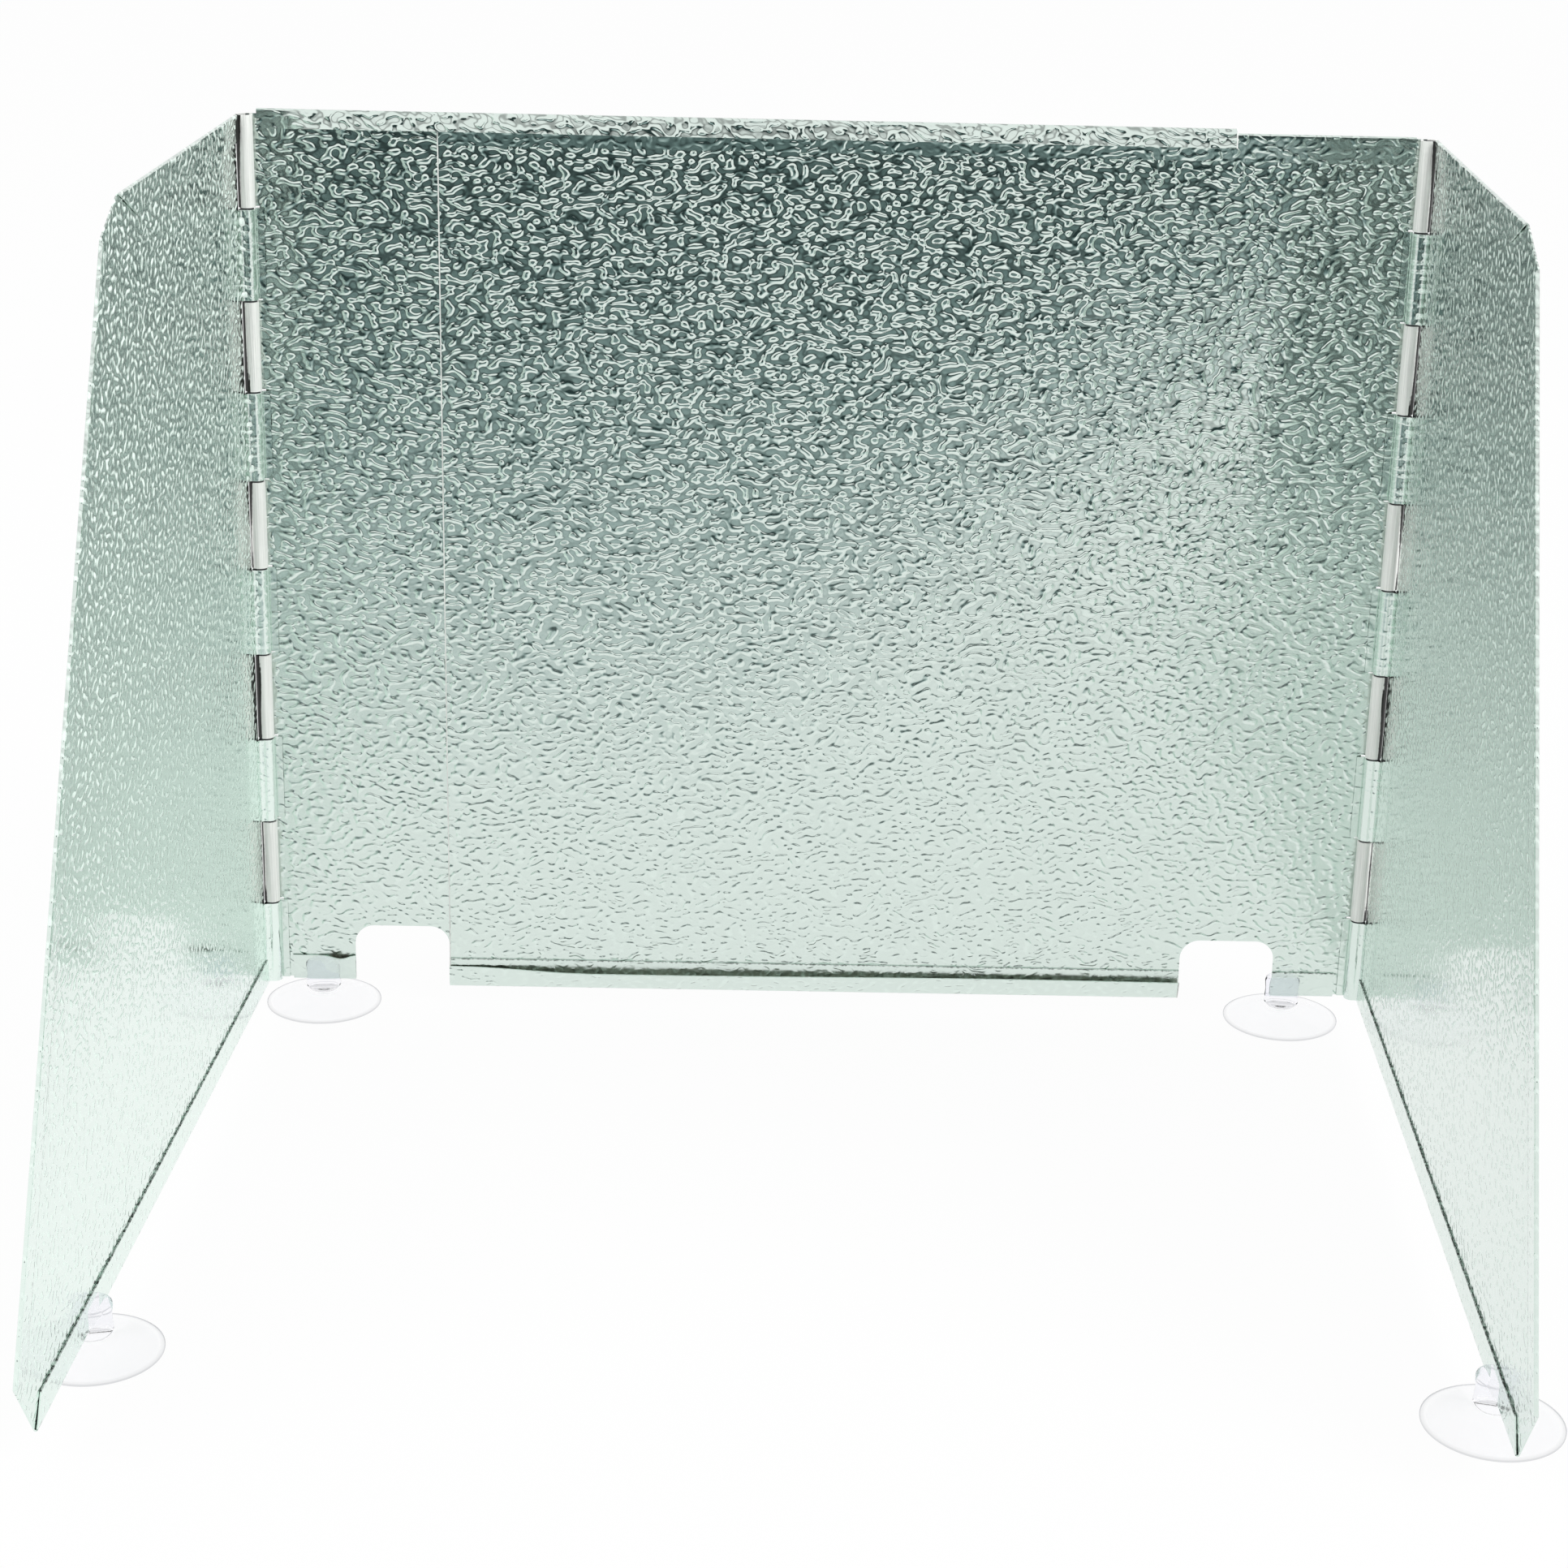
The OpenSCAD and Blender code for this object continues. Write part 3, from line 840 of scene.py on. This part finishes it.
class WINDSCREEN_OT_back_sheets(bpy.types.Operator):
    """The two back sheets that slide in one another"""

    bl_idname = "windscreen.back_sheets"
    bl_label = "Back sheets"

    PATTERN = {"left": ((0.31, 0.17, 0), 0.06), "right": ((0, 0.52, 0), -0.05)}  # offset and turn

    def execute(self, context):
        s, b = context.scene.windscreen_sheet, context.scene.windscreen_back
        left, right = middle("left_hinge_pin"), middle("right_hinge_pin")
        self.width = right[0] - left[0] - b.single
        for side in SIDES:
            sheet = Sheet(s)
            ob = self.left(sheet, b) if side == "left" else self.right(sheet, b)
            # the rolls' flanks beside the wings get black painted shade
            sheet.mark(ob, leaf_flat=0.6, roll_flat=0.88, shade_angles=SHADED_ARC)
            material = sheet_material(f"embossed_{side}_back", *self.PATTERN[side])
            put(
                ob, hinge(f"{side}_hinge_pin", side == "right", s.lift),
                f"{side}_back_panel", f"{side}_back_sheet", material,
            )
        return {"FINISHED"}

    def notch(self, b):
        """A block with two rounded corners, in the shape of the hose notch."""
        low, high = b.single - b.notch_width + MERGE, b.single - MERGE
        below = 0.01
        clear_selection()
        bpy.ops.mesh.primitive_cube_add(size=1)
        ob = bpy.context.object
        ob.scale = (high - low, 0.02, b.notch_height + below)
        ob.location = ((high + low) / 2, 0, (b.notch_height - below) / 2)
        bpy.ops.object.transform_apply(location=True, rotation=False, scale=True)
        for edge in ob.data.edges:
            p, q = (ob.data.vertices[i].co for i in edge.vertices)
            edge.select = min(p.z, q.z) > 0 and abs(p.x - q.x) < MERGE
        for face in ob.data.polygons:
            face.select = False
        bpy.ops.object.mode_set(mode="EDIT")
        bpy.ops.mesh.select_mode(type="EDGE")
        bpy.ops.mesh.bevel(offset=b.notch_radius, segments=10, affect="EDGES")
        bpy.ops.mesh.select_mode(type="VERT")
        bpy.ops.object.mode_set(mode="OBJECT")
        return ob

    def lines(self, sheet, b, low, high):
        """Grid lines of a back sheet's flat, the end of its tabs and the sides of its notch."""
        notch = (b.single - b.notch_width, b.single)
        tab_end = sheet.edge + sheet.s.tab_depth + sheet.s.tab_gap
        fine = lines(tab_end, notch[0], step=FINE_STEP)
        # a narrow strip at the free edge for the painted highlight
        highlight_at = self.width - EDGE_HIGHLIGHT
        us = lines(sheet.start, self.width, *fine, *notch, highlight_at, highlight_at - EDGE_HIGHLIGHT / 4)
        sheet.highlight_from = highlight_at - EDGE_HIGHLIGHT / 8
        pocket = lines(low, sheet.s.hem_depth + FINE_STEP, step=FINE_STEP)
        vs = lines(low, high, *pocket, *sheet.row_lines(low, high))
        return us, vs, tab_end, notch

    def hinge_edge(self, sheet, low, high, vs):
        count = sheet.s.knuckles
        sheet.roll(range(0, count, 2), low, high, vs, sheet.start)
        sheet.tabs(range(1, count, 2), low, high, vs)

    def left(self, sheet, b):
        s = sheet.s
        low, high = sheet.hem_r, s.height
        us, vs, tab_end, notch = self.lines(sheet, b, low, high)
        sheet.plate(us, vs)
        self.hinge_edge(sheet, low, high, vs)
        bulge_from, bulge_length = 0.0150, 0.0140

        def bulge(t):
            """Angle at which the hem has sprung open."""
            at = (t + tab_end - bulge_from) / bulge_length
            return b.hem_bulge * math.sin(math.pi * min(1, max(0, at)) ** 1.5) ** 1.5

        # the pocket behind the sprung hem gets painted shade
        sheet.fold(
            [(u, low) for u in within(us, tab_end, notch[0])], (0, -1), s.hem_depth, flare=bulge, curl=0.95,
            pocket_shade=lambda t: POCKET_DARKNESS * smoothstep(0.1, 0.5, bulge(t) / b.hem_bulge),
        )

        def bottom_lean(t):
            return b.bottom_flare * smoothstep(0, 0.05, t) * (0.85 + 0.15 * math.sin(23 * t))

        # the bottom channel's pocket gets painted shade
        sheet.fold(
            [(u, low) for u in within(us, notch[1], us[-1])], (0, -1), s.bottom_lip,
            inside=lambda t: sheet.bend_r, rise=lambda t: low, flare=bottom_lean,
            pocket_shade=lambda t: POCKET_DARKNESS,
        )

        def opened(t):
            """How far the top channel is open, beyond the part that is pressed flat."""
            return smoothstep(s.pressed * 0.5, s.pressed * 1.9, t)

        def radius(t):
            return sheet.hem_r + (sheet.bend_r - sheet.hem_r) * opened(t)

        def top_lean(t):
            wave = 0.10 * math.sin(31 * t) + 0.06 * math.sin(83 * t + 1)
            return b.top_flare * opened(t) * (0.95 + wave)

        sheet.fold(
            [(u, high) for u in us], (0, 1), s.top_lip, inside=radius,
            rise=lambda t: sheet.bend_r - radius(t), flare=top_lean,
        )
        return sheet.finish("left_sheet", [self.notch(b)])

    def right(self, sheet, b):
        s = sheet.s
        low, high = sheet.hem_r, s.height - sheet.hem_r
        us, vs, tab_end, notch = self.lines(sheet, b, low, high)
        sheet.plate(us, vs)
        self.hinge_edge(sheet, low, high, vs)
        for ends in ((tab_end, notch[0]), (notch[1], us[-1])):
            sheet.fold([(u, low) for u in within(us, *ends)], (0, -1), s.hem_depth)
        sheet.fold([(u, high) for u in us], (0, 1), s.hem_depth)
        return sheet.finish("right_sheet", [self.notch(b)])


class WINDSCREEN_OT_wings(bpy.types.Operator):
    """The two hinged wings with their slanted front edges"""

    bl_idname = "windscreen.wings"
    bl_label = "Wings"

    PATTERN = {
        # the left wing is a lighter painted copy of the metal, and both wings' ridges are painted white high
        # up as highlights
        "left": {"offset": (0.13, 0.4, 0), "relief": 1.3, "ridge_highlight": 1.0, "painted_light": 1.18},
        "right": {"offset": (0.7, 0.2, 0), "relief": 1.0, "ridge_highlight": 0.75, "painted_light": 1.03},
    }

    def execute(self, context):
        s, w = context.scene.windscreen_sheet, context.scene.windscreen_wing
        for side in SIDES:
            sheet = Sheet(s)
            ob = self.wing(sheet, w, f"{side}_wing_sheet")
            # the wing's edge beside the back sheets' knuckles gets black painted shade
            sheet.mark(ob, leaf_flat=0.2, roll_flat=0.7)
            turned = w.left_angle if side == "left" else w.right_angle
            swing = Matrix.Rotation(-turned, 4, "Z") @ Matrix.Diagonal((1, -1, 1, 1))
            material = sheet_material(f"embossed_{side}_wing", turn=0.04, **self.PATTERN[side])
            put(
                ob, hinge(f"{side}_hinge_pin", side == "right", s.lift) @ swing,
                f"{side}_wing_panel", f"{side}_wing", material,
            )
        return {"FINISHED"}

    def wing(self, sheet, w, name):
        s = sheet.s
        r = sheet.hem_r
        low, high = r, s.height - r
        bottom, shoulder = w.nose - w.nose_cut, w.top + w.shoulder_cut
        nose_at = Vector((w.nose, w.nose_rise))
        shoulder_at = Vector((shoulder, s.height - w.shoulder_drop))
        front = (shoulder_at - nose_at).normalized()
        outward = Vector((front.y, -front.x))
        nose_in, shoulder_in = nose_at - outward * r, shoulder_at - outward * r
        corners = [(low, bottom), (nose_in.y, nose_in.x), (shoulder_in.y, shoulder_in.x), (high, w.top)]

        def reach(z):
            for (z0, x0), (z1, x1) in zip(corners, corners[1:]):
                if z <= z1 + MERGE:
                    return x0 + (x1 - x0) * (z - z0) / (z1 - z0)
            return corners[-1][1]

        us = lines(sheet.edge, bottom, sheet.edge + EDGE_SHADE)
        vs = lines(low, high, nose_in.y, shoulder_in.y, *sheet.row_lines(low, high))
        sheet.plate(us, vs, reach)
        sheet.roll(range(1, s.knuckles, 2), low, high, vs, sheet.edge, tail=True)

        def run(z):
            return [us[0] + (u - us[0]) / (us[-1] - us[0]) * (reach(z) - us[0]) for u in us]

        def slant(a, b):
            return 1 / math.tan(a.angle(b))

        nose_run = Vector((w.nose_cut, w.nose_rise))
        shoulder_run = Vector((-w.shoulder_cut, w.shoulder_drop))
        across = Vector((1, 0))
        for z, way, corner in ((low, 1, nose_run), (high, -1, shoulder_run)):
            cuts = (0, slant(across * way, corner))
            sheet.fold([(u, z) for u in run(z)], (0, -way), s.hem_depth, cuts=cuts)
        sheet.fold(
            [(reach(z), z) for z in within(vs, nose_in.y, shoulder_in.y)], outward, s.hem_depth,
            cuts=(slant(front, nose_run), slant(front, shoulder_run)),
        )
        return sheet.finish(name)


class WINDSCREEN_OT_cups(bpy.types.Operator):
    """The four clear suction cups on the bottom hems"""

    bl_idname = "windscreen.cups"
    bl_label = "Suction cups"

    BODIES = {
        "back_left_cup": "left_back_panel",
        "back_right_cup": "right_back_panel",
        "left_wing_cup": "left_wing_panel",
        "right_wing_cup": "right_wing_panel",
    }

    def execute(self, context):
        s, c, w = (getattr(context.scene, "windscreen_" + n) for n in ("sheet", "cup", "wing"))
        first = self.cup(s, c)
        self.tint(first, c)
        vinyl = vinyl_material()
        turned = {"left_wing_cup": -w.left_angle, "right_wing_cup": w.right_angle}
        for node, body in self.BODIES.items():
            ob = first.copy()
            ob.data = first.data.copy()
            ob.name = ob.data.name = node + "_clear"
            context.collection.objects.link(ob)
            ob.data.transform(
                Matrix.Translation((*middle(node), 0)) @ Matrix.Rotation(turned.get(node, 0.0), 4, "Z")
            )
            ob.data.materials.clear()
            ob.data.materials.append(vinyl)
            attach(ob, body)
            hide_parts(node)
        bpy.data.objects.remove(first)
        return {"FINISHED"}

    def tint(self, ob, c):
        """Writes where the vinyl is the thin rim, painted grey as the dark line of light bent at the edge,
        and where the thick head.
        """
        rim, head = point_values(ob, "rim", "head")
        for i, vertex in enumerate(ob.data.vertices):
            out = math.hypot(vertex.co.x, vertex.co.y)
            inward = c.diameter / 2 - out
            rim.data[i].value = 1 - smoothstep(0.0001, 0.0005, inward)
            head.data[i].value = smoothstep(0.005, 0.007, vertex.co.z)

    def profile(self, s, c):
        """Half section, from the middle of the hollow round the rim to the middle of the head's top."""
        r, top = c.diameter / 2, s.lift + c.grip
        inner = r - c.rim
        neck, head = c.neck_d / 2, c.head_d / 2
        bevel, head_bevel = 0.0003, 0.0012
        waist = neck - 0.0002
        neck_at = 0.0050
        points = []
        for i in range(11):
            x = inner * i / 10
            points.append((x, c.hollow * math.cos(x / inner * math.pi / 2) ** 1.2))
        points += [(r - bevel, 0.0), (r, 0.0002), (r, c.edge * 0.8), (r - bevel, c.edge)]
        for i in range(1, 13):
            t = i / 12
            x = r - bevel + (neck - r + bevel) * t
            points.append((x, c.edge + (neck_at - c.edge) * (0.75 * t**1.15 + 0.25 * t**6)))
        points.append((waist, neck_at + 0.0006))
        for i in range(1, 6):
            a = math.pi / 2 * i / 5
            x = waist + (head - waist) * math.sin(a)
            points.append((x, neck_at + 0.0024 - 0.0014 * math.cos(a)))
        points += [(head - bevel, top - 0.0045), (head, top - 0.0014)]
        for i in range(1, 5):
            a = math.pi / 2 * i / 4
            points.append((head - head_bevel * (1 - math.cos(a)), top - head_bevel * (1 - math.sin(a))))
        points.append((0.0, top))
        return points

    def cup(self, s, c):
        """Turns the half section round and saws the slot into the head."""
        clear_selection()
        points = self.profile(s, c)
        bpy.ops.mesh.primitive_plane_add(size=0.001)
        ob = bpy.context.object
        bpy.ops.object.mode_set(mode="EDIT")
        bpy.ops.mesh.select_mode(type="VERT")
        bpy.ops.mesh.merge(type="CENTER")
        bpy.ops.transform.translate(value=(points[0][0], 0, points[0][1]))
        for (x0, z0), (x1, z1) in zip(points, points[1:]):
            bpy.ops.mesh.extrude_region_move(TRANSFORM_OT_translate={"value": (x1 - x0, 0, z1 - z0)})
        bpy.ops.object.mode_set(mode="OBJECT")
        add_modifier(
            ob, "SCREW", angle=FULL_TURN, steps=CUP_STEPS, render_steps=CUP_STEPS,
            use_merge_vertices=True, merge_threshold=CUP_MERGE, use_smooth_shade=True,
        )
        in_edit_mode(
            ob,
            (bpy.ops.mesh.remove_doubles, {"threshold": CUP_MERGE}),
            (bpy.ops.mesh.normals_make_consistent, {"inside": False}),
        )
        clear_selection()
        bpy.ops.mesh.primitive_cube_add(size=1)
        saw = bpy.context.object
        width = 2 * s.thickness + s.hem_gap + 2 * c.grip_clear
        saw_height = 0.02
        saw.scale = (c.diameter, width, saw_height)
        saw.location = (0, 0, s.lift - c.grip_clear + saw_height / 2)
        bpy.ops.object.transform_apply(location=True, rotation=False, scale=True)
        add_modifier(ob, "BOOLEAN", object=saw, operation="DIFFERENCE", solver="EXACT")
        bpy.data.objects.remove(saw)
        make_active(ob)
        bpy.ops.object.shade_smooth_by_angle(angle=SMOOTH_ANGLE)
        return ob


class WINDSCREEN_OT_pins(bpy.types.Operator):
    """The wires inside the rolled hinges"""

    bl_idname = "windscreen.pins"
    bl_label = "Hinge pins"

    def execute(self, context):
        wire = wire_material()
        for node in ("left_hinge_pin", "right_hinge_pin"):
            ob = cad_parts[node]
            ob.data.materials.clear()
            ob.data.materials.append(wire)
        return {"FINISHED"}


class WINDSCREEN_PT_panel(bpy.types.Panel):
    """Lists the windscreen's operators and sizes"""

    bl_label = "Stove windscreen"
    bl_idname = "WINDSCREEN_PT_panel"
    bl_space_type = "VIEW_3D"
    bl_region_type = "UI"
    bl_category = "Windscreen"

    def draw(self, context):
        for operator in OPERATORS:
            self.layout.operator(operator.bl_idname)
        for name, group in SETTINGS.items():
            box = self.layout.box()
            box.label(text=group.__doc__)
            for prop in group.__annotations__:
                box.prop(getattr(context.scene, name), prop)


OPERATORS = (
    WINDSCREEN_OT_stage,
    WINDSCREEN_OT_back_sheets,
    WINDSCREEN_OT_wings,
    WINDSCREEN_OT_cups,
    WINDSCREEN_OT_pins,
)


def register():
    for cls in (*SETTINGS.values(), *OPERATORS, WINDSCREEN_PT_panel):
        bpy.utils.register_class(cls)
    for name, group in SETTINGS.items():
        setattr(bpy.types.Scene, name, PointerProperty(type=group))


def unregister():
    for name in SETTINGS:
        delattr(bpy.types.Scene, name)
    for cls in reversed((*SETTINGS.values(), *OPERATORS, WINDSCREEN_PT_panel)):
        bpy.utils.unregister_class(cls)


def main():
    register()
    bpy.ops.windscreen.stage()
    bpy.ops.windscreen.back_sheets()
    bpy.ops.windscreen.wings()
    bpy.ops.windscreen.cups()
    bpy.ops.windscreen.pins()


if __name__ == "__main__":
    main()
